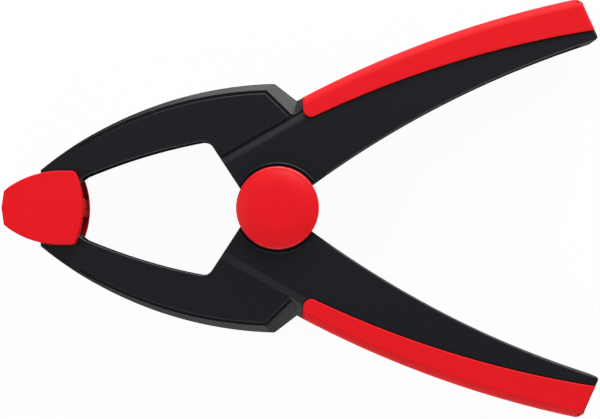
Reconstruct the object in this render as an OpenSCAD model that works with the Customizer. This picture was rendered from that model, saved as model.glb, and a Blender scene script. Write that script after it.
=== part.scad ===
// Spring clamp with two moulded levers, soft grips, swivelling jaw pads and a torsion spring.
// Millimetres. The pivot axis is Z, the jaws point along -X and the handles along +X.
// The clamp lies on its flat side, on the flat of the rear cap, at Z = 0.

/* [Pivot hub] */
// Radius of the hollow steel pivot pin
pin_r = 4; // [3.5:0.1:4.4]
// Radius of the bore through the pivot pin
pin_bore_r = 2.5; // [2:0.1:3]
// Running clearance between a pin and its hole
pin_clear = 0.05; // [0.02:0.01:0.1]
// Radius of the round caps over the hub
cap_r = 12.4; // [12:0.05:12.8]
// Height of a cap from its ear to its flat top
cap_h = 2.6; // [2.4:0.1:3.2]
// Radius of the flat on top of a cap
cap_flat_r = 5; // [4:0.5:7]
// Radius of the dome round the flat, in section
cap_dome_r = 22; // [18:1:40]
// Radius of the rounded rim of a cap
cap_edge_r = 0.9; // [0.5:0.1:1.2]
// Length of the stem that holds a cap in the pin
cap_stem_h = 7; // [5:0.5:9]
// Thickness of each hinge ear
ear_t = 2.4; // [2.2:0.1:2.8]
// Radius of the bosses that carry the spring
boss_r = 5.9; // [5.4:0.1:6]
// Inner radius of the collar lip round a cap
collar_r = 13; // [12.9:0.1:13.6]
// Width of the collar lip
collar_w = 0.7; // [0.5:0.1:1]
// Height of the collar lip
collar_h = 0.5; // [0.3:0.1:0.8]

/* [Torsion spring] */
// Diameter of the spring wire
wire_d = 2.6; // [2.2:0.1:2.8]
// Mean radius of the coil
coil_r = 7.8; // [7.6:0.1:8.4]
// Gap between neighbouring coils
coil_gap = 0.5; // [0.45:0.05:0.7]
// Space between the coil and the ears beside it
coil_side = 0.5; // [0.3:0.1:0.9]
// Angle of the straight legs to the clamp's axis
leg_angle = 42; // [40:1:46]

/* [Levers] */
// Distance from the pivot to the pad pins, along the clamp
pad_pin_x = 68; // [64:0.5:72]
// Outer corner of a shoulder, along the clamp
shoulder_x = -0.9; // [-3:0.1:1]
// Outer corner of a shoulder, from the axis
shoulder_y = 37.4; // [36:0.1:38.5]
// Rounding of a shoulder's outer corner
shoulder_r = 1.2; // [0.8:0.1:2.4]
// Bottom of the notch behind a shoulder, along the clamp
notch_x = 5.75; // [5:0.05:6.5]
// Bottom of the notch behind a shoulder, from the axis
notch_y = 32.3; // [31:0.1:33]
// Radius of the outer edge of a jaw arm
jaw_outer_r = 116.5; // [105:0.5:130]
// Radius of the inner edge of a jaw arm
jaw_inner_r = 172; // [150:0.5:190]
// Inner corner of the throat, ahead of the pivot
throat_x = 20.9; // [19:0.1:23]
// Inner corner of the throat, from the axis
throat_y = 20.5; // [19:0.1:22]
// Where the throat's rear side meets the ear, as an angle round the pivot
throat_meet = 154; // [150:1:158]
// Fillet in the throat corner
throat_fillet = 3.2; // [1:0.1:4]
// Outer corner of a handle's end, behind the pivot
handle_x = 90.7; // [84:0.1:96]
// Outer corner of a handle's end, from the axis
handle_y = 63; // [61:0.1:65]
// Where a handle's inner edge meets the collar, as an angle round the pivot
handle_meet = 34.2; // [32:0.1:36]
// Length of a handle's end face
handle_end = 13.5; // [12.5:0.1:14.5]
// Rounding of the inner corner of a handle's end
handle_end_r = 1; // [0.5:0.1:1.6]
// Slant of a handle's end face from square
handle_slant = 24.5; // [18:0.5:30]
// Radius of the outer edge of a handle
handle_outer_r = 314.6; // [280:0.5:360]
// Radius of the inner edge of a handle
handle_inner_r = 299.5; // [270:0.5:340]
// Thickness of the flange along the outer edge
flange_t = 2.6; // [2:0.1:3.2]
// Side wall of a lever at the raised hub and handle
core_wall = 3.6; // [3.3:0.1:4]
// Side wall of a lever at the jaw panel
panel_wall = 2.6; // [2.3:0.1:2.9]
// Side wall of a lever under the grip and the edge band
skin_wall = 1.9; // [1.6:0.1:2.1]
// Thickness of the cross ribs
rib_t = 1.8; // [1.4:0.1:2.4]
// Set-back of the ribs from the open side of the channel
rib_back = 1.2; // [0.8:0.1:2]
// Distance between the ribs of a jaw arm
jaw_rib_step = 11.5; // [10:0.5:13]
// First rib of a handle, behind the pivot
handle_rib_x = 50; // [46:1:54]
// Distance between the ribs of a handle
handle_rib_step = 12; // [10:0.5:13]
// Outer corner of the jaw panel, along the clamp
panel_x = -3.6; // [-4.4:0.1:-3]
// Outer corner of the jaw panel, from the axis
panel_y = 34.9; // [34:0.1:35.4]
// Where the panel's short outer edge meets the crease, along the clamp
crease_x = 4.2; // [3.6:0.1:5]
// Where the panel's short outer edge meets the crease, from the axis
crease_y = 27.3; // [26.8:0.1:28]
// Angle of the crease between jaw panel and hub
crease_angle = 29.8; // [26:0.1:32]
// Width of the ramp from the crease up to the hub
ramp_w = 2.4; // [1.6:0.1:3]
// Width of the groove round the jaw panel
trim_w = 0.8; // [0.6:0.1:1]
// Slope of the hub's edge where it stands above the notch
hub_draft = 0.6; // [0.3:0.1:0.8]
// Fall of the sloped band round the panel, for each millimetre
band_fall = 0.64; // [0.5:0.02:0.7]
// Distance from a jaw arm's outer edge to the groove, at the tip
band_tip_w = 1.1; // [0.9:0.1:1.4]
// Where the jaw panel ends, behind the pad pin
tip_crease = 8.3; // [7.5:0.1:9.5]
// Lean of the crease at the end of the panel, along the clamp
tip_neck = 2; // [1.5:0.1:3]
// Where the open channel starts, behind the pad pin
channel_start = 8.5; // [7.5:0.1:10]
// Step from the jaw panel down to the arm's tip
tip_step = 0.3; // [0.1:0.1:0.5]
// Fall of the arm's tip towards the pad, for each millimetre
tip_fall = 0.08; // [0.04:0.01:0.1]

/* [Grips] */
// Thickness of the soft grip
grip_t = 2; // [1.6:0.1:2.4]
// How far a grip stands proud of the handle's side
grip_proud = 0.7; // [0.4:0.1:1]
// Start of a grip, behind the pivot
grip_x = 7.4; // [7.2:0.1:8]
// Lean of a grip's front edge
grip_lean = 0.5; // [0:0.1:1]
// Depth of a grip at its start
grip_depth = 7.2; // [6.6:0.1:7.8]
// Depth of a grip at the handle's end
grip_end_depth = 10.6; // [9.8:0.1:11.4]
// Radius of the inner edge of a grip
grip_inner_r = 307; // [280:1:340]
// Rounding of the corners of a grip
grip_corner_r = 2.4; // [1.5:0.1:3]
// Chamfer along the outer edges of a grip
grip_chamfer = 1.5; // [0.8:0.1:1.8]
// Chamfer along the end of a grip
grip_end_chamfer = 0.6; // [0.4:0.1:0.9]

/* [Jaw pads] */
// Width of a pad across the clamp
pad_w = 26; // [24:0.5:28]
// Reach of a pad ahead of its pin
pad_front = 14.2; // [13:0.1:16]
// Reach of a pad behind its pin
pad_back = 10; // [9:0.1:11]
// Height of a pad above the closed line
pad_h = 11; // [10.4:0.1:11.8]
// Height of the blunt front edge of a pad
pad_nose_h = 5; // [4:0.1:6]
// Lean of the blunt front edge of a pad
pad_nose_lean = 0.7; // [0.3:0.1:1.2]
// Width of the bevel above the blunt front edge
pad_brow_w = 1.3; // [0.8:0.1:1.6]
// Height of the bevel above the blunt front edge
pad_brow_h = 1.1; // [0.8:0.1:1.4]
// Rounding of the lower corner of the bevel
pad_brow_r = 0.6; // [0.3:0.1:0.8]
// Length of the flat on top of a pad
pad_flat = 3.5; // [2.5:0.1:4.5]
// Radius of the curved top of a pad
pad_top_r = 27; // [24:0.5:34]
// Radius of the rounded rear face of a closed pair of pads
pad_rear_r = 25; // [20:0.5:30]
// Rounding between the top and the rear face of a pad
pad_heel_r = 1.4; // [0.8:0.1:1.8]
// Thickness of a pad's base plate
pad_base = 2.7; // [2.2:0.1:3]
// Gap between the closed pads
pad_gap = 0.1; // [0.1:0.05:0.4]
// Width of the groove for round work along a pad
groove_w = 3; // [2:0.1:4]
// Depth of the groove along a pad
groove_h = 1; // [0.6:0.1:1.4]
// Radius of a pad pin
pad_pin_r = 1.5; // [1.2:0.1:1.8]
// Depth of a pad pin in each cheek
pad_pin_seat = 3; // [2:0.1:3.5]
// Radius of the round end of an arm, about the pad pin
tongue_r = 3.3; // [3:0.1:3.5]
// Rise of the arm's front corner above the pad pin
tongue_rise = 5.1; // [4.6:0.1:5.6]
// Reach of the arm's front corner ahead of the pad pin
tongue_front = 3.2; // [2.8:0.1:3.6]

/* [Hidden] */
$fn = 96;
// Gap kept between faces that move past each other
run_gap = 0.3;
// Flat gap between the ears, and between a cap and its ear
ear_gap = 0.2;
// Points along each curved edge
bow_steps = 24;
// Points round each filleted corner
corner_steps = 6;
// Overlap of shapes that are moulded in one piece
joined = 0.5;
// How far the jaw arm's plate runs on under the hub
hub_lap = 3.8;
// Larger than any cut needs to be
far = 200;
// Rings in one curl of the spring wire
rings_per_curl = 8;
// Sides of the spring wire
wire_sides = 6;
// Coils of the spring, before the legs' angle is taken off
spring_loops = 3;

// Levels from the middle plane outwards
coil_turn = 360 * spring_loops - 180 - 2 * leg_angle;
coil_pitch = wire_d + coil_gap;
coil_rise = coil_pitch * coil_turn / 360;
cavity_half = (coil_rise + wire_d) / 2 + coil_side;
inner_ear_top = cavity_half + ear_t;
outer_ear_base = inner_ear_top + ear_gap;
ear_top = outer_ear_base + ear_t;
cap_base = ear_top + ear_gap / 2;
cap_top = cap_base + cap_h;
core_half = cavity_half + core_wall;
panel_half = cavity_half + panel_wall;
skin_half = cavity_half + skin_wall;
grip_half = core_half + grip_proud;
ear_r = cap_r - ear_gap;
inner_ear_r = ear_r - 2 * run_gap;

// Places on the upper lever
pad_pin_y = pad_gap / 2 + pad_base + run_gap + tongue_r;
pad_pin_at = [-pad_pin_x, pad_pin_y];
nose = pad_pin_at + [-tongue_front, tongue_rise];
jaw_root = pad_pin_at + [tip_crease + tip_neck, tongue_r];
shoulder = [shoulder_x, shoulder_y];
notch = [notch_x, notch_y];
throat = [-throat_x, throat_y];
tip_out = [handle_x, handle_y];
end_dir = [sin(handle_slant), -cos(handle_slant)];
tip_in = tip_out + handle_end * end_dir;
hub_left = ear_r * [cos(throat_meet), sin(throat_meet)];
handle_root = collar_r * [cos(handle_meet), sin(handle_meet)];

jaw_c = arc_centre(nose, shoulder, jaw_outer_r);
throat_c = arc_centre(jaw_root, throat, jaw_inner_r);
outer_c = arc_centre(notch, tip_out, handle_outer_r);
inner_c = arc_centre(handle_root, tip_in, handle_inner_r);

grip_top = on_arc(outer_c, handle_outer_r, grip_x);
grip_root = [grip_x + grip_lean, grip_top.y - grip_depth];
grip_end = tip_out + grip_end_depth * end_dir;
grip_c = arc_centre(grip_root, grip_end, grip_inner_r);

tip_top = on_arc(jaw_c, jaw_outer_r, tip_crease - pad_pin_x);
panel_corner = [panel_x, panel_y];
panel_end = [crease_x, crease_y];
panel_c = arc_centre(tip_top + band_tip_w * unit(jaw_c - tip_top), panel_corner, jaw_outer_r);
panel_rim = panel_half - skin_half;
edge_dir = unit(panel_end - panel_corner);
edge_side = [edge_dir.y, -edge_dir.x];
arc_side = unit(panel_c - panel_corner);
corner_side = (arc_side + edge_side) / (1 + arc_side * edge_side);
crease_dir = [cos(crease_angle), sin(crease_angle)];
crease_side = [crease_dir.y, -crease_dir.x];
ramp_foot = panel_end - hub_draft * crease_side;
ramp_left = line_meet(ramp_foot, crease_dir, throat, hub_left - throat);
under_hub = [panel_end + hub_lap * (crease_side + crease_dir), hub_left];

spring_seat_r = handle_outer_r - grip_t - flange_t - run_gap - wire_d / 2;

function unit(v) = v / norm(v);

// Centre of the circle of radius r through a and b that lies to the right of the way from a to b
function arc_centre(a, b, r) =
    let (way = b - a, span = norm(way))
    (a + b) / 2 + sqrt(r * r - span * span / 4) * [way.y, -way.x] / span;

// Point of a circle's upper half at a given x
function on_arc(centre, r, x) = [x, centre.y + sqrt(r * r - pow(x - centre.x, 2))];

// Points of a circle's upper half from one x to another
function bow(centre, r, x0, x1, steps = bow_steps) =
    [for (i = [0:steps]) on_arc(centre, r, x0 + (x1 - x0) * i / steps)];

// Points of a circle at the given angles
function at_angles(centre, r, angles) = [for (a = angles) centre + r * [cos(a), sin(a)]];

function angle_of(centre, p) = atan2(p.y - centre.y, p.x - centre.x);

// Where two lines meet, each given by a point and a direction
function line_meet(p, u, q, v) =
    p + u * ((q.x - p.x) * v.y - (q.y - p.y) * v.x) / (u.x * v.y - u.y * v.x);

// Points of a fillet of radius r in the corner between two neighbours
function fillet(before, corner, after, r) =
    let (u = unit(before - corner),
         v = unit(after - corner),
         half = acos(u * v) / 2,
         centre = corner + unit(u + v) * r / sin(half),
         from = corner + u * r / tan(half) - centre,
         to = corner + v * r / tan(half) - centre,
         start = atan2(from.y, from.x),
         turn = (atan2(to.y, to.x) - start + 540) % 360 - 180)
    [for (i = [0:corner_steps])
        centre + r * [cos(start + turn * i / corner_steps), sin(start + turn * i / corner_steps)]];

// Point where a line from p touches a circle, on the left or right of the way to its centre
function touch_point(p, centre, r, side) =
    let (way = centre - p, gap = norm(way), lean = asin(r / gap) * side, long = sqrt(gap * gap - r * r))
    p + long * [way.x * cos(lean) - way.y * sin(lean), way.x * sin(lean) + way.y * cos(lean)] / gap;

function reverse(list) = [for (i = [len(list) - 1:-1:0]) list[i]];

throat_bow = bow(throat_c, jaw_inner_r, jaw_root.x, throat.x);
throat_corner = fillet(hub_left, throat, throat_bow[bow_steps - 3], throat_fillet);
throat_side = concat(throat_corner,
                     reverse([for (p = throat_bow) if (p.x < throat_corner[corner_steps].x) p]));
tongue_side = [touch_point(jaw_root, pad_pin_at, tongue_r, 1), pad_pin_at,
               touch_point(nose, pad_pin_at, tongue_r, -1)];

// Outer edge of a jaw arm, from its nose to the shoulder
jaw_start = angle_of(jaw_c, nose);
jaw_turn = angle_of(jaw_c, shoulder) - jaw_start;
jaw_angles = [for (i = [0:bow_steps]) jaw_start + jaw_turn * i / bow_steps];
jaw_arc = at_angles(jaw_c, jaw_outer_r, jaw_angles);
tip_edge = concat([for (p = jaw_arc) if (p.x < tip_top.x - joined) p], [tip_top]);
jaw_edge = concat(
    tip_edge,
    [for (p = jaw_arc) if (p.x > tip_top.x + joined && p.x < shoulder.x - shoulder_r) p],
    fillet(jaw_arc[bow_steps - 1], shoulder, notch, shoulder_r));

handle_bow = bow(inner_c, handle_inner_r, handle_root.x, tip_in.x);

// Whole outline of the upper lever, from its nose over the shoulder to the handle and back
lever_outline = concat(
    jaw_edge,
    bow(outer_c, handle_outer_r, notch.x, tip_out.x),
    fillet(tip_out, tip_in, handle_bow[bow_steps - 1], handle_end_r),
    reverse([for (p = handle_bow) if (p.x < tip_in.x - 2 * handle_end_r) p]),
    [[0, 0], hub_left],
    throat_side,
    tongue_side);

// Outline of the jaw arm with its part of the hub
jaw_outline = concat(
    jaw_edge,
    [notch],
    under_hub,
    throat_side,
    tongue_side);

// Outline of the arm's tip ahead of the panel
tip_outline = concat(tip_edge, [jaw_root], tongue_side);

// Outline of a grip, round the outer side of a handle
grip_edge = bow(grip_c, grip_inner_r, grip_root.x, grip_end.x);
grip_side = concat(
    fillet(grip_top, grip_root, grip_edge[2], grip_corner_r),
    [for (p = grip_edge) if (p.x > grip_root.x + grip_corner_r) p]);
grip_outline = concat(
    bow(outer_c, handle_outer_r, grip_top.x, tip_out.x - grip_corner_r),
    fillet(on_arc(outer_c, handle_outer_r, tip_out.x - grip_corner_r), tip_out, tip_in, grip_corner_r),
    reverse(grip_side));

// Region on the hub's side of the foot of the ramp
hub_region = [ramp_left - hub_lap * crease_dir, ramp_foot + far * crease_dir,
              [grip_end.x + handle_end, -handle_end], [ramp_left.x - hub_lap, -handle_end]];

// Region of the slope between the band, the notch and the start of the grip
saddle_region = [panel_end - [joined, joined], notch + [-joined, flange_t],
                 grip_top + [grip_corner_r, flange_t], grip_root];

// Region that a grip takes up, out to beyond the handle's outline
grip_region = concat(
    [grip_top + (grip_top - grip_root) / 2],
    grip_side,
    [grip_end + [handle_end, 0]],
    [tip_out + [handle_end, handle_end], [grip_top.x, tip_out.y + handle_end]]);

// Outline of the handle's core inside the grip, running on under the handle's side
core_top = on_arc(outer_c, handle_outer_r - grip_t, grip_top.x + grip_t);
core_end = line_meet(tip_out - grip_t * [cos(handle_slant), sin(handle_slant)], end_dir,
                     on_arc(outer_c, handle_outer_r - grip_t, tip_out.x - grip_t),
                     tip_out - on_arc(outer_c, handle_outer_r, tip_out.x - handle_end));
grip_core = concat(
    bow(outer_c, handle_outer_r - grip_t, core_top.x, core_end.x),
    [core_end + grip_end_depth * end_dir],
    reverse(bow(grip_c, grip_inner_r - grip_t, core_top.x, core_end.x)));

// Outline of the hollow between the side walls, open towards the clamp's axis
hollow_outer_r = handle_outer_r - grip_t - flange_t;
channel_x = channel_start - pad_pin_x;
hollow_outline = concat(
    [[channel_x, 0]],
    bow(jaw_c, jaw_outer_r - flange_t, channel_x, shoulder.x - flange_t),
    [[notch.x - flange_t, notch.y - 2 * flange_t]],
    bow(outer_c, hollow_outer_r, grip_top.x + grip_t, core_end.x - flange_t),
    [core_end + [-flange_t, 0] + handle_end * end_dir],
    [[handle_root.x, -1], [-handle_root.x, -1]]);

// Removes what stands above a plane that falls to the left of the way from a to b, on both sides
module slope_cut(a, b, level, fall) {
    way = b - a;
    for (side = [0, 1])
        mirror([0, 0, side])
            translate([a.x, a.y, level])
                rotate([0, 0, atan2(way.y, way.x)])
                    rotate([-atan(fall), 0, 0])
                        translate([-far, -far, 0])
                            cube([2 * far, 2 * far, far]);
}

// Solid inside a pair of cones whose radius is r at the given level and grows inwards
module cone_pair(centre, r, level, fall) {
    intersection_for (side = [0, 1])
        mirror([0, 0, side])
            translate([centre.x, centre.y, level - far / 4])
                cylinder(r1 = r + far / 4 / fall, r2 = r, h = far / 4, $fn = 360);
}

module slab(half) {
    linear_extrude(height = 2 * half, center = true)
        children();
}

// Line at a distance inside or outside the middle of the groove round the panel, from an x to past the crease
function panel_edge(inset, start) =
    let (r = jaw_outer_r - inset,
         corner = panel_corner + inset * corner_side)
    concat(
        [on_arc(panel_c, r, start)],
        [for (p = at_angles(panel_c, r, jaw_angles)) if (p.x > start + joined && p.x < corner.x - joined) p],
        [corner, panel_end + inset * edge_side + hub_lap * edge_dir]);

// Jaw arm with its raised panel, the groove and the sloped band round it, and its tapered tip
module jaw_arm() {
    band_reach = 6;
    inner_side = [[notch.x + 1, -tongue_r], [nose.x - 1, -tongue_r]];
    difference() {
        union() {
            intersection() {
                slab(panel_half)
                    polygon(jaw_outline);
                hull() {
                    slab(panel_half - band_reach * band_fall)
                        polygon(concat(panel_edge(-band_reach, tip_top.x - joined), inner_side));
                    slab(panel_half)
                        polygon(concat(panel_edge(0, tip_top.x - joined), inner_side));
                }
            }
            slab(panel_half)
                polygon(tip_outline);
            slab(panel_half)
                translate(pad_pin_at)
                    circle(r = tongue_r);
        }
        slope_cut(jaw_root, tip_top, panel_half - tip_step, tip_fall);
        for (side = [0, 1])
            mirror([0, 0, side])
                translate([0, 0, skin_half])
                    linear_extrude(height = 1)
                        polygon(concat(panel_edge(-trim_w / 2, tip_top.x + joined),
                                       reverse(panel_edge(trim_w / 2, tip_top.x + joined))));
        translate([panel_end.x, panel_end.y, skin_half])
            rotate([0, 0, crease_angle])
                translate([-far / 2, -trim_w / 2, 0])
                    cube([far, trim_w, 1]);
    }
}

module hub_plan() {
    difference() {
        intersection() {
            polygon(lever_outline);
            polygon(hub_region);
        }
        polygon(grip_region);
    }
}

// Raised side of the hub and handle, with the ramp down to the jaw panel
module hub_and_handle() {
    difference() {
        slab(core_half)
            hub_plan();
        ramp_cut([[trim_w / 2, -panel_rim], [trim_w / 2, 0]]);
        mirror([0, 0, 1])
            ramp_cut([[-hub_draft, -panel_rim], [0, 0]]);
    }
    slab(skin_half)
        polygon(grip_core);
    saddle();
}

// Slope between the band, the notch and the start of the grip
module saddle() {
    notch_drop = band_fall * ((notch - panel_end) * -edge_side) - panel_rim;
    notch_run = (notch - panel_end) * -crease_side;
    difference() {
        slab(skin_half)
            difference() {
                intersection() {
                    polygon(lever_outline);
                    polygon(saddle_region);
                }
                polygon(grip_region);
            }
        slope_cut(panel_end, panel_end + crease_dir, skin_half, notch_drop / notch_run);
    }
}

// What is taken off the hub's edge, so that it rises from a foot along the crease
module ramp_cut(foot) {
    rise = core_half - panel_half;
    start = -hub_draft - joined;
    translate([panel_end.x, panel_end.y, panel_half])
        rotate([0, 0, crease_angle])
            rotate([90, 0, -90])
                linear_extrude(height = far, center = true)
                    polygon(concat([[start, -panel_rim]], foot,
                                   [[ramp_w, rise], [ramp_w, rise + joined], [start, rise + joined]]));
}

// Cross ribs between the side walls
module ribs() {
    throat_way = hub_left - throat;
    slab(cavity_half + joined)
        intersection() {
            union() {
                polygon(jaw_outline);
                hub_plan();
                polygon(grip_core);
            }
            union() {
                for (x = [jaw_root.x + jaw_rib_step:jaw_rib_step:-throat_x - rib_t])
                    translate(on_arc(throat_c, jaw_inner_r, x) + [-rib_t / 2, rib_back])
                        square([rib_t, far / 4]);
                for (i = [0:3])
                    translate(on_arc(inner_c, handle_inner_r, handle_rib_x + i * handle_rib_step))
                        rotate(crease_angle)
                            translate([-rib_t / 2, rib_back])
                                square([rib_t, far / 4]);
                translate(throat)
                    rotate(atan2(throat_way.y, throat_way.x))
                        square([norm(throat_way), rib_t]);
            }
        }
}

// Lip round the cap, on top of the lever's side
module collar() {
    intersection() {
        linear_extrude(height = core_half + collar_h)
            polygon(lever_outline);
        difference() {
            cylinder(r = collar_r + collar_w, h = core_half + collar_h);
            cylinder(r = collar_r, h = core_half + collar_h + 1);
        }
    }
}

// One lever before its hinge is cut: the jaw, the hub and the handle, hollow between the side walls
module lever_shell() {
    difference() {
        union() {
            jaw_arm();
            hub_and_handle();
            collar();
            mirror([0, 0, 1])
                collar();
        }
        slab(cavity_half)
            polygon(hollow_outline);
    }
    ribs();
}

// One moulded lever about the middle plane: its front ear is the outer one, its rear ear the inner one
module lever() {
    difference() {
        union() {
            difference() {
                lever_shell();
                translate([0, 0, -cavity_half])
                    cylinder(r = inner_ear_r + run_gap, h = cavity_half + outer_ear_base);
                translate([0, 0, -core_half - collar_h - 1])
                    cylinder(r = ear_r + run_gap, h = core_half + collar_h + 1 - inner_ear_top);
            }
            translate([0, 0, outer_ear_base])
                cylinder(r = ear_r, h = ear_t);
            translate([0, 0, -inner_ear_top])
                cylinder(r = inner_ear_r, h = ear_t);
            translate([0, 0, -inner_ear_top])
                cylinder(r = boss_r, h = inner_ear_top - ear_gap / 2);
        }
        translate([0, 0, -cap_top])
            cylinder(r = pin_r + pin_clear, h = 2 * cap_top);
        translate([pad_pin_at.x, pad_pin_at.y, -cap_top])
            cylinder(r = pad_pin_r + pin_clear, h = 2 * cap_top);
    }
}

// Soft grip about the middle plane, wrapped round the handle's core
module grip() {
    difference() {
        intersection() {
            slab(grip_half)
                polygon(grip_outline);
            cone_pair(outer_c, handle_outer_r - grip_chamfer, grip_half, 1);
        }
        slope_cut(tip_out - grip_end_chamfer * [cos(handle_slant), sin(handle_slant)],
                  tip_in - grip_end_chamfer * [cos(handle_slant), sin(handle_slant)], grip_half, 1);
        slab(skin_half)
            polygon(grip_core);
    }
}

// Side of a jaw pad: blunt nose, curved top, and a rear face on one arc with the other pad's
pad_back_x = pad_back - pad_pin_x;
pad_front_x = -pad_front - pad_pin_x;
pad_rear_c = [pad_back_x - pad_rear_r, 0];
pad_rear_start = asin(pad_h / pad_rear_r);
pad_rear_end = asin(pad_gap / 2 / pad_rear_r);
pad_rear = at_angles(pad_rear_c, pad_rear_r, [for (i = [0:corner_steps])
    pad_rear_start + (pad_rear_end - pad_rear_start) * i / corner_steps]);
pad_top_back = [pad_rear[0].x - pad_flat, pad_h];
pad_nose_top = [pad_front_x + pad_nose_lean, pad_nose_h];
pad_top_front = pad_nose_top + [pad_brow_w, pad_brow_h];
pad_top_c = arc_centre(pad_top_front, pad_top_back, pad_top_r);
pad_outline = concat(
    [[pad_front_x, pad_gap / 2]],
    fillet([pad_front_x, pad_gap / 2], pad_nose_top, pad_top_front, pad_brow_r),
    bow(pad_top_c, pad_top_r, pad_top_front.x, pad_top_back.x),
    fillet(pad_top_back, pad_rear[0], pad_rear[1], pad_heel_r),
    [for (i = [1:corner_steps]) pad_rear[i]]);

// Jaw pad about the middle plane, a wedge with a slot for the arm's end
module pad() {
    slot_half = panel_half + run_gap;
    pin_half = slot_half + pad_pin_seat + run_gap;
    groove_side = groove_w / 2 * (pad_gap / 2 + groove_h) / groove_h;
    difference() {
        slab(pad_w / 2)
            polygon(pad_outline);
        translate([pad_pin_at.x - tongue_front - 4 * run_gap, pad_gap / 2 + pad_base, -slot_half])
            cube([far, far, 2 * slot_half]);
        translate([pad_pin_at.x, pad_pin_at.y, -pin_half])
            cylinder(r = pad_pin_r + pin_clear, h = 2 * pin_half);
        translate([pad_front_x - 1, 0, 0])
            rotate([90, 0, 90])
                linear_extrude(height = pad_front + pad_back + 2)
                    polygon([[pad_gap / 2 + groove_h, 0], [0, groove_side], [0, -groove_side]]);
    }
}

// Cross pin of a jaw pad about the middle plane
module pad_pin() {
    half = panel_half + run_gap + pad_pin_seat;
    translate([pad_pin_at.x, pad_pin_at.y, -half])
        cylinder(r = pad_pin_r, h = 2 * half);
}

// Domed cap over one end of the pivot pin, with its stem
module cap() {
    dome_top = cap_top - cap_dome_r;
    edge_x = cap_r - cap_edge_r;
    dome = [for (i = [0:8]) let (x = cap_flat_r + (edge_x - cap_flat_r) * i / 8)
            [x, dome_top + sqrt(pow(cap_dome_r, 2) - pow(x - cap_flat_r, 2))]];
    edge_y = dome[8].y - cap_edge_r;
    rotate_extrude()
        polygon(concat(
            [[0, cap_top - cap_h - cap_stem_h], [pin_bore_r - pin_clear, cap_top - cap_h - cap_stem_h]],
            [[pin_bore_r - pin_clear, cap_base], [cap_r, cap_base], [cap_r, edge_y]],
            [for (i = [1:corner_steps - 1]) let (a = 90 * i / corner_steps)
                [edge_x + cap_edge_r * cos(a), edge_y + cap_edge_r * sin(a)]],
            reverse(dome),
            [[0, cap_top]]));
}

module hollow_pin() {
    difference() {
        translate([0, 0, -ear_top])
            cylinder(r = pin_r, h = 2 * ear_top);
        translate([0, 0, -ear_top - 1])
            cylinder(r = pin_bore_r, h = 2 * ear_top + 2);
    }
}

// Course of the spring wire: lower leg, coil, upper leg
function wire_leg(side) =
    let (root = coil_r * [cos(side * (90 + leg_angle)), sin(side * (90 + leg_angle))],
         way = [cos(leg_angle), side * sin(leg_angle)],
         centre = [outer_c.x, side * outer_c.y],
         gap = root - centre,
         along = gap * way,
         long = sqrt(along * along - gap * gap + spring_seat_r * spring_seat_r) - along)
    [for (s = [1, 0.5, 0.1]) [root.x + long * s * way.x, root.y + long * s * way.y, side * coil_rise / 2]];
coil_rings = ceil(coil_turn / 360 * rings_per_curl);
function coil_point(turned) =
    let (a = -(90 + leg_angle) - turned)
    [coil_r * cos(a), coil_r * sin(a), coil_rise * (turned / coil_turn - 0.5)];
coil_course = [for (i = [0:coil_rings]) coil_point(coil_turn * i / coil_rings)];
wire_course = concat(wire_leg(-1), coil_course, reverse(wire_leg(1)));

function ring_way(i) =
    unit(wire_course[min(i + 1, len(wire_course) - 1)] - wire_course[max(i - 1, 0)]);
function wire_ring(i) =
    let (way = ring_way(i), across = unit(cross([0, 0, 1], way)), up = cross(way, across))
    [for (k = [0:wire_sides - 1]) let (a = 360 * k / wire_sides)
        wire_course[i] + wire_d / 2 * (cos(a) * across + sin(a) * up)];

module wire() {
    count = len(wire_course);
    side_faces = [for (i = [0:count - 2]) for (k = [0:wire_sides - 1])
        let (a = i * wire_sides + k,
             b = i * wire_sides + (k + 1) % wire_sides)
        each [[a, a + wire_sides, b], [b, a + wire_sides, b + wire_sides]]];
    last = (count - 1) * wire_sides;
    end_faces = [for (k = [1:wire_sides - 2])
        each [[0, k, k + 1], [last, last + k + 1, last + k]]];
    polyhedron(points = [for (i = [0:count - 1]) each wire_ring(i)],
               faces = concat(side_faces, end_faces));
}

// Least gap between the wire and its own next curl
curl_gaps = [for (turned = [0:360 / rings_per_curl:coil_turn - 360])
    norm(coil_point(turned) - coil_point(turned + 360)) - wire_d];
echo(least_gap_of_spring = min(curl_gaps));

module lifted() {
    translate([0, 0, cap_top])
        children();
}

module turned_over() {
    lifted()
        rotate([180, 0, 0])
            children();
}

module upper_lever() {
    color("#25282b")
        lifted()
            lever();
}

module lower_lever() {
    color("#25282b")
        turned_over()
            lever();
}

module upper_grip() {
    color("#e11f28")
        lifted()
            grip();
}

module lower_grip() {
    color("#e11f28")
        turned_over()
            grip();
}

module pivot_pin() {
    color("silver")
        lifted()
            hollow_pin();
}

module torsion_spring() {
    color("gray")
        lifted()
            wire();
}

module front_cap() {
    color("#e11f28")
        lifted()
            cap();
}

module rear_cap() {
    color("#e11f28")
        turned_over()
            cap();
}

module upper_pad() {
    color("#e11f28")
        lifted()
            pad();
}

module lower_pad() {
    color("#e11f28")
        turned_over()
            pad();
}

module upper_pad_pin() {
    color("silver")
        lifted()
            pad_pin();
}

module lower_pad_pin() {
    color("silver")
        turned_over()
            pad_pin();
}

upper_lever();
lower_lever();
upper_grip();
lower_grip();
pivot_pin();
torsion_spring();
front_cap();
rear_cap();
upper_pad();
lower_pad();
upper_pad_pin();
lower_pad_pin();
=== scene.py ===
"""Spring clamp: finished surfaces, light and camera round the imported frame. Metres, the frame's own axes."""

import math

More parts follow.
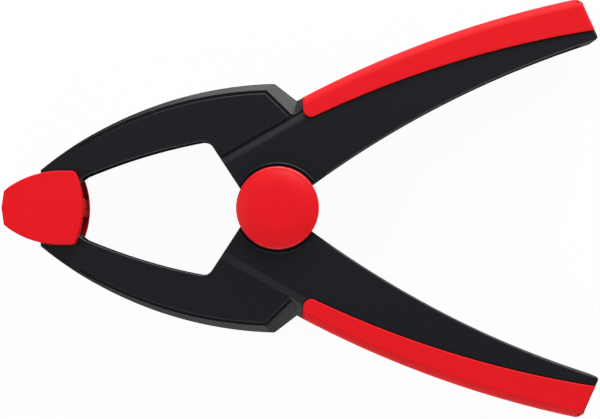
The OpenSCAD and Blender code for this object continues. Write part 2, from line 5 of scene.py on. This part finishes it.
import bpy
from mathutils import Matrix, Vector


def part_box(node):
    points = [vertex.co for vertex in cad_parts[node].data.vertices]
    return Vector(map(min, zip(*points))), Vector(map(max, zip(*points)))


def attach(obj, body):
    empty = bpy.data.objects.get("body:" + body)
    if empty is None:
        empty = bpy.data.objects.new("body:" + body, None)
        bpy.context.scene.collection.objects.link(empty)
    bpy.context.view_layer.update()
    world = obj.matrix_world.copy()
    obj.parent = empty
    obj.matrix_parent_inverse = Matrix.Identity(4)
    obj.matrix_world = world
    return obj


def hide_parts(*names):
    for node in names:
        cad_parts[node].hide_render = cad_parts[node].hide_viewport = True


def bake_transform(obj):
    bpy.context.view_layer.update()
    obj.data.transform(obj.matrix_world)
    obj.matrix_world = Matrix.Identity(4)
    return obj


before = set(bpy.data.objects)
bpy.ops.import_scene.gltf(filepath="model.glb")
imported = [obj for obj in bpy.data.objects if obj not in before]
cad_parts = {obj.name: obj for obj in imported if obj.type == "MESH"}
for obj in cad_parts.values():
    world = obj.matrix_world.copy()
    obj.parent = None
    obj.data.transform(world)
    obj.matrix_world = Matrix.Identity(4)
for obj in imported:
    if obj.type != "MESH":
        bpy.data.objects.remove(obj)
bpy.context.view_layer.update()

MM = 0.001

# The clamp's own places, read from the frame
PIN_LOW, PIN_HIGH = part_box("pivot_pin")
SPRING_LOW, SPRING_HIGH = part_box("torsion_spring")
PAD_PIN_LOW, PAD_PIN_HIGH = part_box("upper_pad_pin")
PAD_LOW, PAD_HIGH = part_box("upper_pad")
GRIP_LOW, GRIP_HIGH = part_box("upper_grip")
MID_Z = (PIN_LOW.z + PIN_HIGH.z) / 2

# Edge roundings
LEVER_EDGE = 0.3 * MM
HANDLE_EDGE = 0.6 * MM
GRIP_SHOULDER = 1.0 * MM
GRIP_EDGE = 0.25 * MM
PAD_EDGE = 0.4 * MM
SEAM_GAP = 0.1 * MM
SEAM_REACH = 0.5 * MM
FINE = 0.01 * MM
MERGE = 0.002 * MM
FLAT_AREA = 6 * MM * MM

# Turns between faces, in degrees: the same flat side, an edge to round, and an edge to shade smooth
SAME_FLAT = 0.4
SHARP_TURN = 24
SMOOTH_TURN = 31
WIRE_SMOOTH_TURN = 40

# How far a place may be off a level and still count as on it
LEVEL_SLACK = 0.1 * MM

# The levers' levels above the middle plane, and the collar round the cap
CAVITY_LEVEL = 5.3 * MM
SKIN_LEVEL = 7.21 * MM
COLLAR_LEVEL = 9.2 * MM
COLLAR_RADII = (12.9 * MM, 13.9 * MM)

# Where a handle's rim starts, and how far the pad pin's hole reaches from its centre
HANDLE_START = 16 * MM
PIN_HOLE_REACH = 2.5 * MM

# In front of this place a lever's edge band tapers to nothing, too thin to be rounded
BAND_END = -54 * MM

# The spring's wire
WIRE_RADIUS = 1.3 * MM
COIL_RADIUS = 7.8 * MM
COIL_PITCH = 3.1 * MM
LEG_ANGLE = math.radians(42)
COIL_TURN = math.radians(816)
COIL_RISE = COIL_PITCH * COIL_TURN / math.tau

# Side walls come off the mould duller than the flat sides. The ramp is the height of a wall's normal
WALL_ROUGHNESS = 0.95
WALL_RAMP = (0.30, 0.12)
GRAIN_DEPTH = 0.05 * MM

# Colours, linear
CHARCOAL = (0.0068, 0.0080, 0.0108, 1)
CHARCOAL_DEEP = (0.0056, 0.0067, 0.0092, 1)
RED = (0.755, 0.0062, 0.0118, 1)
RED_DEEP = (0.715, 0.0048, 0.0096, 1)
STEEL = (0.560, 0.565, 0.575, 1)
STEEL_DARK = (0.230, 0.225, 0.220, 1)


# ---------------------------------------------------------------- selecting and shaping


def only(obj):
    """Leaves obj alone selected and active."""
    bpy.ops.object.select_all(action="DESELECT")
    obj.select_set(True)
    bpy.context.view_layer.objects.active = obj


def edit_all(obj):
    only(obj)
    bpy.ops.object.mode_set(mode="EDIT")
    bpy.ops.mesh.select_all(action="SELECT")


def leave_edit():
    bpy.ops.object.mode_set(mode="OBJECT")


def copy_of(node, name):
    """A merged copy of a CAD node, its flat faces whole again."""
    only(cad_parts[node])
    bpy.ops.object.duplicate()
    piece = bpy.context.active_object
    piece.name = name
    piece.data.name = name
    piece.data.materials.clear()
    edit_all(piece)
    bpy.ops.mesh.remove_doubles(threshold=MERGE)
    bpy.ops.mesh.dissolve_limited(angle_limit=math.radians(SAME_FLAT))
    leave_edit()
    return piece


def round_edges(piece, test, radius, segments=3):
    """Rounds the outward edges that test(middle of the edge, normals beside it) holds for."""
    only(piece)
    mesh = piece.data
    beside = {}
    for face in mesh.polygons:
        corners = [mesh.vertices[i].co for i in face.vertices]
        for start, end, key in zip(corners, corners[1:] + corners[:1], face.edge_keys):
            beside.setdefault(key, []).append((face.normal.copy(), face.normal.cross(end - start)))
    mesh.polygons.foreach_set("select", [False] * len(mesh.polygons))
    mesh.vertices.foreach_set("select", [False] * len(mesh.vertices))
    for edge in mesh.edges:
        (first, inward), (second, _) = beside[edge.key]
        a, b = edge.vertices
        middle = (mesh.vertices[a].co + mesh.vertices[b].co) / 2
        outward_edge = inward.dot(second) < 0 and first.angle(second, 0) > math.radians(SHARP_TURN)
        edge.select = outward_edge and test(middle, (first, second))
    bpy.context.tool_settings.mesh_select_mode = (False, True, False)
    bpy.ops.object.mode_set(mode="EDIT")
    bpy.ops.mesh.bevel(offset=radius, segments=segments, profile=0.5, clamp_overlap=False)
    leave_edit()


def shade(piece):
    """Smooth over the roundings, with the flat sides kept flat."""
    only(piece)
    bpy.ops.object.shade_smooth_by_angle(angle=math.radians(SMOOTH_TURN))
    mesh = piece.data
    mesh.vertices.foreach_set("select", [False] * len(mesh.vertices))
    mesh.edges.foreach_set("select", [False] * len(mesh.edges))
    mesh.polygons.foreach_set("select", [flat_side(f.normal) and f.area > FLAT_AREA for f in mesh.polygons])
    bpy.context.tool_settings.mesh_select_mode = (False, False, True)
    bpy.ops.object.mode_set(mode="EDIT")
    bpy.ops.mesh.faces_shade_flat()
    leave_edit()
    weights = piece.modifiers.new("flat faces", "WEIGHTED_NORMAL")
    weights.weight = 90
    weights.keep_sharp = True
    bpy.ops.object.modifier_apply(modifier=weights.name)


# ---------------------------------------------------------------- material groups


def new_group(name, inputs, outputs):
    group = bpy.data.node_groups.new(name, "ShaderNodeTree")
    for label, kind, default in inputs:
        socket = group.interface.new_socket(name=label, in_out="INPUT", socket_type=kind)
        if default is not None:
            socket.default_value = default
    for label, kind in outputs:
        group.interface.new_socket(name=label, in_out="OUTPUT", socket_type=kind)
    source = group.nodes.new("NodeGroupInput")
    sink = group.nodes.new("NodeGroupOutput")
    return group, source, sink


def noise(group, vector, scale, detail, roughness=0.5):
    node = group.nodes.new("ShaderNodeTexNoise")
    node.inputs["Detail"].default_value = detail
    node.inputs["Roughness"].default_value = roughness
    if isinstance(scale, (int, float)):
        node.inputs["Scale"].default_value = scale
    else:
        group.links.new(scale, node.inputs["Scale"])
    group.links.new(vector, node.inputs["Vector"])
    return node


def maths(group, operation, a, b=None, clamp=False):
    node = group.nodes.new("ShaderNodeMath")
    node.operation = operation
    node.use_clamp = clamp
    for socket, value in zip(node.inputs, (a, b)):
        if value is None:
            continue
        if isinstance(value, (int, float)):
            socket.default_value = value
        else:
            group.links.new(value, socket)
    return node.outputs["Value"]


def mix_colour(group, factor, a, b):
    node = group.nodes.new("ShaderNodeMix")
    node.data_type = "RGBA"
    for label, value in (("Factor", factor), ("A", a), ("B", b)):
        socket = [s for s in node.inputs if s.name == label and s.enabled][0]
        if isinstance(value, (int, float, tuple)):
            socket.default_value = value
        else:
            group.links.new(value, socket)
    return [s for s in node.outputs if s.enabled][0]


def moulded_grain():
    """Fine spark-eroded texture of a mould: Height for a bump, and Cells for small gloss changes."""
    group, source, sink = new_group(
        "moulded_grain",
        [("Vector", "NodeSocketVector", None), ("Grains per metre", "NodeSocketFloat", 2600.0)],
        [("Height", "NodeSocketFloat"), ("Cells", "NodeSocketFloat")],
    )
    pits = group.nodes.new("ShaderNodeTexVoronoi")
    pits.feature = "SMOOTH_F1"
    group.links.new(source.outputs["Vector"], pits.inputs["Vector"])
    group.links.new(source.outputs["Grains per metre"], pits.inputs["Scale"])
    rough = noise(group, source.outputs["Vector"], source.outputs["Grains per metre"], 4.0, 0.6)
    height = maths(group, "MULTIPLY_ADD", pits.outputs["Distance"], 0.6)
    height.node.inputs[2].default_value = 0.0
    total = maths(group, "ADD", height, rough.outputs["Fac"])
    group.links.new(total, sink.inputs["Height"])
    group.links.new(rough.outputs["Fac"], sink.inputs["Cells"])
    return group


def surface_mottle():
    """Slow cloudy change of a moulded surface, from 0 to 1."""
    group, source, sink = new_group(
        "surface_mottle",
        [("Vector", "NodeSocketVector", None), ("Scale", "NodeSocketFloat", 60.0)],
        [("Cloud", "NodeSocketFloat")],
    )
    cloud = noise(group, source.outputs["Vector"], source.outputs["Scale"], 3.0, 0.55)
    ramp = group.nodes.new("ShaderNodeMapRange")
    ramp.inputs["From Min"].default_value = 0.3
    ramp.inputs["From Max"].default_value = 0.7
    group.links.new(cloud.outputs["Fac"], ramp.inputs["Value"])
    group.links.new(ramp.outputs["Result"], sink.inputs["Cloud"])
    return group


def handling_scuffs():
    """Sparse short scuffs from use, from 0 to 1."""
    group, source, sink = new_group(
        "handling_scuffs",
        [
            ("Vector", "NodeSocketVector", None),
            ("Scale", "NodeSocketFloat", 240.0),
            ("Share", "NodeSocketFloat", 0.12),
        ],
        [("Scuff", "NodeSocketFloat")],
    )
    stretch = group.nodes.new("ShaderNodeMapping")
    stretch.inputs["Rotation"].default_value = (0.3, 0.2, 0.7)
    stretch.inputs["Scale"].default_value = (1.0, 0.16, 0.5)
    group.links.new(source.outputs["Vector"], stretch.inputs["Vector"])
    marks = noise(group, stretch.outputs["Vector"], source.outputs["Scale"], 5.0, 0.65)
    patches = noise(group, source.outputs["Vector"], 55.0, 2.0)
    both = maths(group, "MULTIPLY", marks.outputs["Fac"], patches.outputs["Fac"])
    edge = maths(group, "SUBTRACT", 0.42, maths(group, "MULTIPLY", source.outputs["Share"], 0.6))
    over = maths(group, "SUBTRACT", both, edge)
    sharp = maths(group, "MULTIPLY", over, 14.0, clamp=True)
    group.links.new(sharp, sink.inputs["Scuff"])
    return group


def side_walls():
    """1 on walls that stand along the pivot's axis, 0 on the moulding's flat sides and slopes."""
    group, source, sink = new_group(
        "side_walls", [("Normal", "NodeSocketVector", None)], [("Wall", "NodeSocketFloat")]
    )
    parts = group.nodes.new("ShaderNodeSeparateXYZ")
    group.links.new(source.outputs["Normal"], parts.inputs[0])
    ramp = group.nodes.new("ShaderNodeMapRange")
    ramp.inputs["From Min"].default_value, ramp.inputs["From Max"].default_value = WALL_RAMP
    group.links.new(maths(group, "ABSOLUTE", parts.outputs["Z"]), ramp.inputs["Value"])
    group.links.new(ramp.outputs["Result"], sink.inputs["Wall"])
    return group


GRAIN = moulded_grain()
WALLS = side_walls()
MOTTLE = surface_mottle()
SCUFFS = handling_scuffs()


def place(material, group, **values):
    """A group in a material's tree, fed with Object coordinates."""
    tree = material.node_tree
    node = tree.nodes.new("ShaderNodeGroup")
    node.node_tree = group
    where = tree.nodes.get("where") or tree.nodes.new("ShaderNodeTexCoord")
    where.name = "where"
    tree.links.new(where.outputs["Object"], node.inputs["Vector"])
    for label, value in values.items():
        node.inputs[label.replace("_", " ")].default_value = value
    return node


def blank(name):
    material = bpy.data.materials.new(name)
    material.use_nodes = True
    return material, material.node_tree, material.node_tree.nodes["Principled BSDF"]


def moulded_plastic(name, base, deep, roughness, grains, bump, specular, coat=0.0):
    """A moulded plastic with grain, a slightly cloudy colour and duller side walls."""
    material, tree, shader = blank(name)
    shader.inputs["Specular IOR Level"].default_value = specular
    shader.inputs["Coat Weight"].default_value = coat
    shader.inputs["Coat Roughness"].default_value = 0.25
    grain = place(material, GRAIN, Grains_per_metre=grains)
    cloud = place(material, MOTTLE, Scale=60.0)
    tree.links.new(mix_colour(tree, cloud.outputs["Cloud"], base, deep), shader.inputs["Base Color"])
    low, high = roughness
    change = maths(tree, "MULTIPLY_ADD", cloud.outputs["Cloud"], high - low)
    change.node.inputs[2].default_value = low
    fine = maths(tree, "MULTIPLY_ADD", grain.outputs["Cells"], 0.10)
    tree.links.new(change, fine.node.inputs[2])
    wall = tree.nodes.new("ShaderNodeGroup")
    wall.node_tree = WALLS
    tree.links.new(tree.nodes["where"].outputs["Normal"], wall.inputs["Normal"])
    rough = maths(tree, "MAXIMUM", fine, maths(tree, "MULTIPLY", wall.outputs["Wall"], WALL_ROUGHNESS))
    tree.links.new(rough, shader.inputs["Roughness"])
    relief = tree.nodes.new("ShaderNodeBump")
    relief.inputs["Strength"].default_value = bump
    relief.inputs["Distance"].default_value = GRAIN_DEPTH
    tree.links.new(grain.outputs["Height"], relief.inputs["Height"])
    tree.links.new(relief.outputs["Normal"], shader.inputs["Normal"])
    return material


def drawn_steel(name, base, dark, roughness):
    material, tree, shader = blank(name)
    shader.inputs["Metallic"].default_value = 1.0
    cloud = place(material, MOTTLE, Scale=400.0)
    marks = place(material, SCUFFS, Scale=900.0, Share=0.3)
    tint = mix_colour(tree, cloud.outputs["Cloud"], base, dark)
    tree.links.new(tint, shader.inputs["Base Color"])
    rough = maths(tree, "MULTIPLY_ADD", marks.outputs["Scuff"], 0.2)
    rough.node.inputs[2].default_value = roughness
    tree.links.new(rough, shader.inputs["Roughness"])
    return material


NYLON = moulded_plastic("charcoal_nylon", CHARCOAL, CHARCOAL_DEEP, (0.30, 0.34), 2600, 0.2, 0.34)
SOFT_RED = moulded_plastic("soft_red", RED, RED_DEEP, (0.44, 0.50), 2200, 0.1, 0.18)
CAP_RED = moulded_plastic("cap_red", RED, RED_DEEP, (0.28, 0.32), 1500, 0.03, 0.3, coat=0.1)
PAD_RED = moulded_plastic("pad_red", RED, RED_DEEP, (0.58, 0.64), 2400, 0.1, 0.12)
PIN_STEEL = drawn_steel("pin_steel", STEEL, STEEL_DARK, 0.28)
WIRE_STEEL = drawn_steel("wire_steel", STEEL, STEEL_DARK, 0.32)


# ---------------------------------------------------------------- pieces


def finish_piece(piece, material, body, node):
    piece.data.materials.clear()
    piece.data.materials.append(material)
    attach(piece, body)
    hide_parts(node)


def flat_side(normal):
    return abs(normal.z) > 0.99


def above_middle(place_at):
    return abs(place_at.z - MID_Z)


def on_handle_rim(outward):
    """Test for the edges of a handle's raised sides, along its open side and its end.

    outward is 1 for the upper handle and -1 for the lower one.
    """

    def test(middle, normals):
        if middle.x < HANDLE_START or above_middle(middle) < SKIN_LEVEL:
            return False
        walls = [n for n in normals if abs(n.z) < 0.05]
        if len(walls) != 1 or not any(flat_side(n) for n in normals):
            return False
        return walls[0].y * outward < -0.3 or walls[0].x > 0.7

    return test


def on_lever_shell(middle, normals):
    """The outer edges of a lever, without the hinge, the pin hole and what the grip covers."""
    up = above_middle(middle)
    from_pivot = math.hypot(middle.x, middle.y)
    if from_pivot < COLLAR_RADII[1]:
        return up > COLLAR_LEVEL and from_pivot > COLLAR_RADII[0]
    on_skin = any(flat_side(n) for n in normals) and abs(up - SKIN_LEVEL) < LEVEL_SLACK
    under_grip = on_skin and middle.x > GRIP_LOW.x
    pin_x = (PAD_PIN_LOW.x + PAD_PIN_HIGH.x) / 2
    pin_y = (PAD_PIN_LOW.y + PAD_PIN_HIGH.y) / 2
    at_pin = math.hypot(middle.x - pin_x, abs(middle.y) - pin_y) < PIN_HOLE_REACH
    at_band_end = middle.x < BAND_END and any(0.1 < abs(n.z) < 0.99 for n in normals)
    return up > CAVITY_LEVEL + LEVEL_SLACK and not (under_grip or at_pin or at_band_end)


def on_grip_shoulder(middle, normals):
    """The two edges of the slope along a grip's outer side."""
    return len([n for n in normals if 0.5 < abs(n.z) < 0.9 and n.x < 0.4]) == 1


def on_grip_rim(middle, normals):
    return above_middle(middle) > SKIN_LEVEL + LEVEL_SLACK


def on_pad_side(middle, normals):
    """The edges of a pad's outer cheeks, without the seam between the closed pads."""
    return above_middle(middle) > PAD_HIGH.z - MID_Z - LEVEL_SLACK and abs(middle.y) > SEAM_REACH


def close_seam(pad, outward):
    """Brings a pad's gripping face to within FINE of the middle plane.

    The closed pads then meet in a fine line.
    """
    only(pad)
    mesh = pad.data
    mesh.polygons.foreach_set("select", [False] * len(mesh.polygons))
    mesh.edges.foreach_set("select", [False] * len(mesh.edges))
    near = [v for v in mesh.vertices if abs(v.co.y) < SEAM_GAP]
    mesh.vertices.foreach_set("select", [v in near for v in mesh.vertices])
    bpy.context.tool_settings.mesh_select_mode = (True, False, False)
    bpy.ops.object.mode_set(mode="EDIT")
    bpy.ops.transform.translate(value=(0, FINE * outward - near[0].co.y, 0))
    leave_edit()


for side, outward in (("upper", 1), ("lower", -1)):
    body = f"{side}_arm"
    lever = copy_of(f"{side}_lever", f"{side}_lever_moulding")
    round_edges(lever, on_handle_rim(outward), HANDLE_EDGE, 4)
    round_edges(lever, on_lever_shell, LEVER_EDGE)
    shade(lever)
    finish_piece(lever, NYLON, body, f"{side}_lever")

    grip = copy_of(f"{side}_grip", f"{side}_grip_sleeve")
    round_edges(grip, on_grip_shoulder, GRIP_SHOULDER)
    round_edges(grip, on_grip_rim, GRIP_EDGE)
    shade(grip)
    finish_piece(grip, SOFT_RED, body, f"{side}_grip")

    pad = copy_of(f"{side}_pad", f"{side}_jaw_pad_moulding")
    close_seam(pad, outward)
    round_edges(pad, on_pad_side, PAD_EDGE)
    shade(pad)
    finish_piece(pad, PAD_RED, f"{side}_jaw_pad", f"{side}_pad")

for side in ("front", "rear"):
    cap = copy_of(f"{side}_cap", f"{side}_cap_dome")
    shade(cap)
    finish_piece(cap, CAP_RED, "lower_arm", f"{side}_cap")


def ring_at(spring, level):
    """Selects the open ring of a spring's end near a level, and returns its centre."""
    edit_all(spring)
    bpy.ops.mesh.select_all(action="DESELECT")
    bpy.context.tool_settings.mesh_select_mode = (False, True, False)
    bpy.ops.mesh.select_non_manifold()
    leave_edit()
    ring = [v for v in spring.data.vertices if v.select and abs(v.co.z - level) < 1.5 * WIRE_RADIUS]
    for edge in spring.data.edges:
        edge.select = edge.select and all(spring.data.vertices[i] in ring for i in edge.vertices)
    for vertex in spring.data.vertices:
        vertex.select = vertex in ring
    return sum((v.co for v in ring), Vector()) / len(ring)


def torsion_spring():
    """Round wire in a coil that rises clockwise, with a straight leg into each handle."""
    start = -(math.pi / 2 + LEG_ANGLE)
    at = Vector((COIL_RADIUS * math.cos(start), COIL_RADIUS * math.sin(start), MID_Z - COIL_RISE / 2))
    bpy.ops.mesh.primitive_circle_add(
        vertices=16, radius=WIRE_RADIUS, location=at, rotation=(math.pi / 2, 0, start)
    )
    spring = bpy.context.active_object
    spring.name = spring.data.name = "torsion_spring_wire"
    bpy.ops.object.transform_apply(location=True, rotation=True, scale=True)
    coil = spring.modifiers.new("coil", "SCREW")
    coil.axis = "Z"
    coil.angle = -COIL_TURN
    coil.screw_offset = COIL_RISE
    coil.steps = coil.render_steps = 90
    coil.use_smooth_shade = True
    bpy.ops.object.modifier_apply(modifier=coil.name)
    reach = SPRING_HIGH.x - WIRE_RADIUS * math.sin(LEG_ANGLE) - 2 * FINE
    for outward in (-1, 1):
        centre = ring_at(spring, MID_Z + outward * COIL_RISE / 2)
        length = (reach - centre.x) / math.cos(LEG_ANGLE)
        leg = Vector((math.cos(LEG_ANGLE), outward * math.sin(LEG_ANGLE), 0)) * length
        bpy.ops.object.mode_set(mode="EDIT")
        bpy.ops.mesh.extrude_edges_move(TRANSFORM_OT_translate={"value": leg})
        bpy.ops.mesh.edge_face_add()
        leave_edit()
    edit_all(spring)
    bpy.ops.mesh.normals_make_consistent(inside=False)
    leave_edit()
    only(spring)
    bpy.ops.object.shade_smooth_by_angle(angle=math.radians(WIRE_SMOOTH_TURN))
    spring.data.materials.append(WIRE_STEEL)
    half_blend = COIL_RISE / 2 - WIRE_RADIUS
    low, high = (0, 0, MID_Z - half_blend), (0, 0, MID_Z + half_blend)
    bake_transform(spring)
    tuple(low)
    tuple(high)
    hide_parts("torsion_spring")


torsion_spring()

for node in ("pivot_pin", "upper_pad_pin", "lower_pad_pin"):
    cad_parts[node].data.materials.clear()
    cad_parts[node].data.materials.append(PIN_STEEL)


# ---------------------------------------------------------------- floor, light and camera

WHITE = (1, 1, 1, 1)

# The share of the floor's look that is plain white light
FLOOR_GLOW = 0.96


def floor():
    bpy.ops.mesh.primitive_plane_add(size=4, location=(0, 0, 0))
    plane = bpy.context.active_object
    plane.name = "floor"
    material, tree, shader = blank("floor_paper")
    shader.inputs["Base Color"].default_value = (0.93, 0.93, 0.93, 1)
    shader.inputs["Roughness"].default_value = 0.9
    glow = tree.nodes.new("ShaderNodeEmission")
    glow.inputs["Color"].default_value = WHITE
    glow.inputs["Strength"].default_value = 1.0
    rays = tree.nodes.new("ShaderNodeLightPath")
    seen = maths(tree, "ADD", rays.outputs["Is Camera Ray"], rays.outputs["Is Glossy Ray"], clamp=True)
    seen = maths(tree, "ADD", seen, rays.outputs["Is Transmission Ray"], clamp=True)
    share = maths(tree, "MULTIPLY", seen, FLOOR_GLOW)
    blend = tree.nodes.new("ShaderNodeMixShader")
    tree.links.new(share, blend.inputs[0])
    tree.links.new(shader.outputs[0], blend.inputs[1])
    tree.links.new(glow.outputs[0], blend.inputs[2])
    tree.links.new(blend.outputs[0], tree.nodes["Material Output"].inputs["Surface"])
    plane.data.materials.append(material)


def lamp(name, turn, rise, distance, size, power):
    """A square-cornered soft lamp aimed at the pivot.

    turn is its direction from +X and rise its height, both in degrees.
    """
    turn, rise = math.radians(turn), math.radians(rise)
    away = Vector((math.cos(turn) * math.cos(rise), math.sin(turn) * math.cos(rise), math.sin(rise)))
    bpy.ops.object.light_add(type="AREA", location=away * distance + Vector((0, 0, MID_Z)))
    light = bpy.context.active_object
    light.name = name
    light.data.shape = "RECTANGLE"
    light.data.size, light.data.size_y = size
    light.data.energy = power
    light.rotation_mode = "QUATERNION"
    light.rotation_quaternion = away.to_track_quat("Z", "Y")


floor()
lamp("window_above", 75, 23, 1.0, (1.2, 0.42), 12.4)
lamp("soft_above", 72, 45, 1.0, (0.5, 0.4), 2.4)
lamp("low_fill", -85, 27, 1.0, (1.3, 0.45), 5.0)
lamp("soft_left", 185, 35, 1.0, (0.5, 0.5), 3.4)

world = bpy.data.worlds.new("studio")
world.use_nodes = True
world.node_tree.nodes["Background"].inputs["Color"].default_value = WHITE
world.node_tree.nodes["Background"].inputs["Strength"].default_value = 0.16
bpy.context.scene.world = world
bpy.context.scene.view_settings.view_transform = "Standard"

# The camera looks square on from above, a little below and behind the pivot
LOOK_AT = Vector((6.71 * MM, -0.31 * MM, MID_Z))
FOOT = Vector((6.71 * MM, -12.28 * MM, MID_Z))
CAMERA_UP = 720 * MM
FRAME_WIDTH = 181.8 * MM
SENSOR = 36.0

bpy.ops.object.camera_add(location=FOOT + Vector((0, 0, CAMERA_UP)))
camera = bpy.context.active_object
camera.data.sensor_width = SENSOR
camera.data.lens = SENSOR * CAMERA_UP / FRAME_WIDTH
camera.data.clip_start = 0.05
camera.rotation_mode = "QUATERNION"
camera.rotation_quaternion = (camera.location - LOOK_AT).to_track_quat("Z", "Y")
bpy.context.scene.camera = camera
